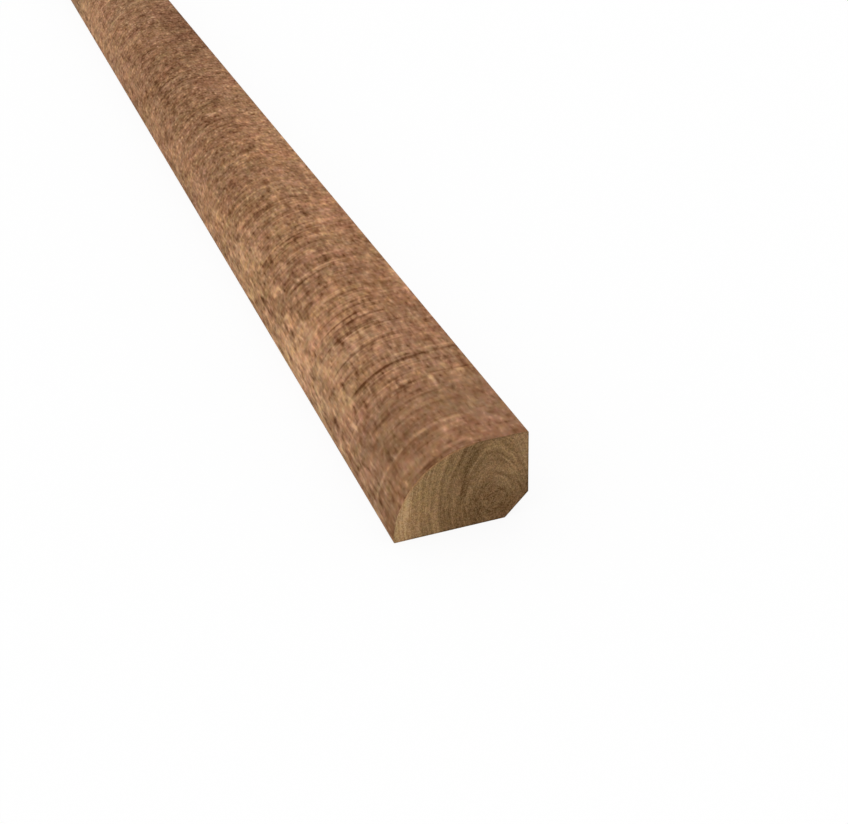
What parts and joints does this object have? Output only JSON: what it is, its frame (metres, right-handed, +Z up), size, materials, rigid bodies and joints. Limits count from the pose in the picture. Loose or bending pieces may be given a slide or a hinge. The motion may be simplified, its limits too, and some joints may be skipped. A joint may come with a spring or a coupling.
{
  "type": "shoe moulding",
  "caption": "Long stained wood strip with a quarter-round face, a short flat shoulder and a relief cut, for the joint of skirting board and floor.",
  "frame": {"origin": "on the plane of the back that the moulding lies on, at the middle of its width and of its length", "axes": "+Y along the length, +Z up from the back to the shoulder, +X across the section from the thin toe to the foot"},
  "size_m": [0.019, 1.9812, 0.0127],
  "materials": {
    "stained_wood": "matt reddish-brown stain on the quarter round and the shoulder, bare wood on the other faces"
  },
  "bodies": {
    "root": {"shoe_moulding": "stained_wood"}
  },
  "joints": []
}
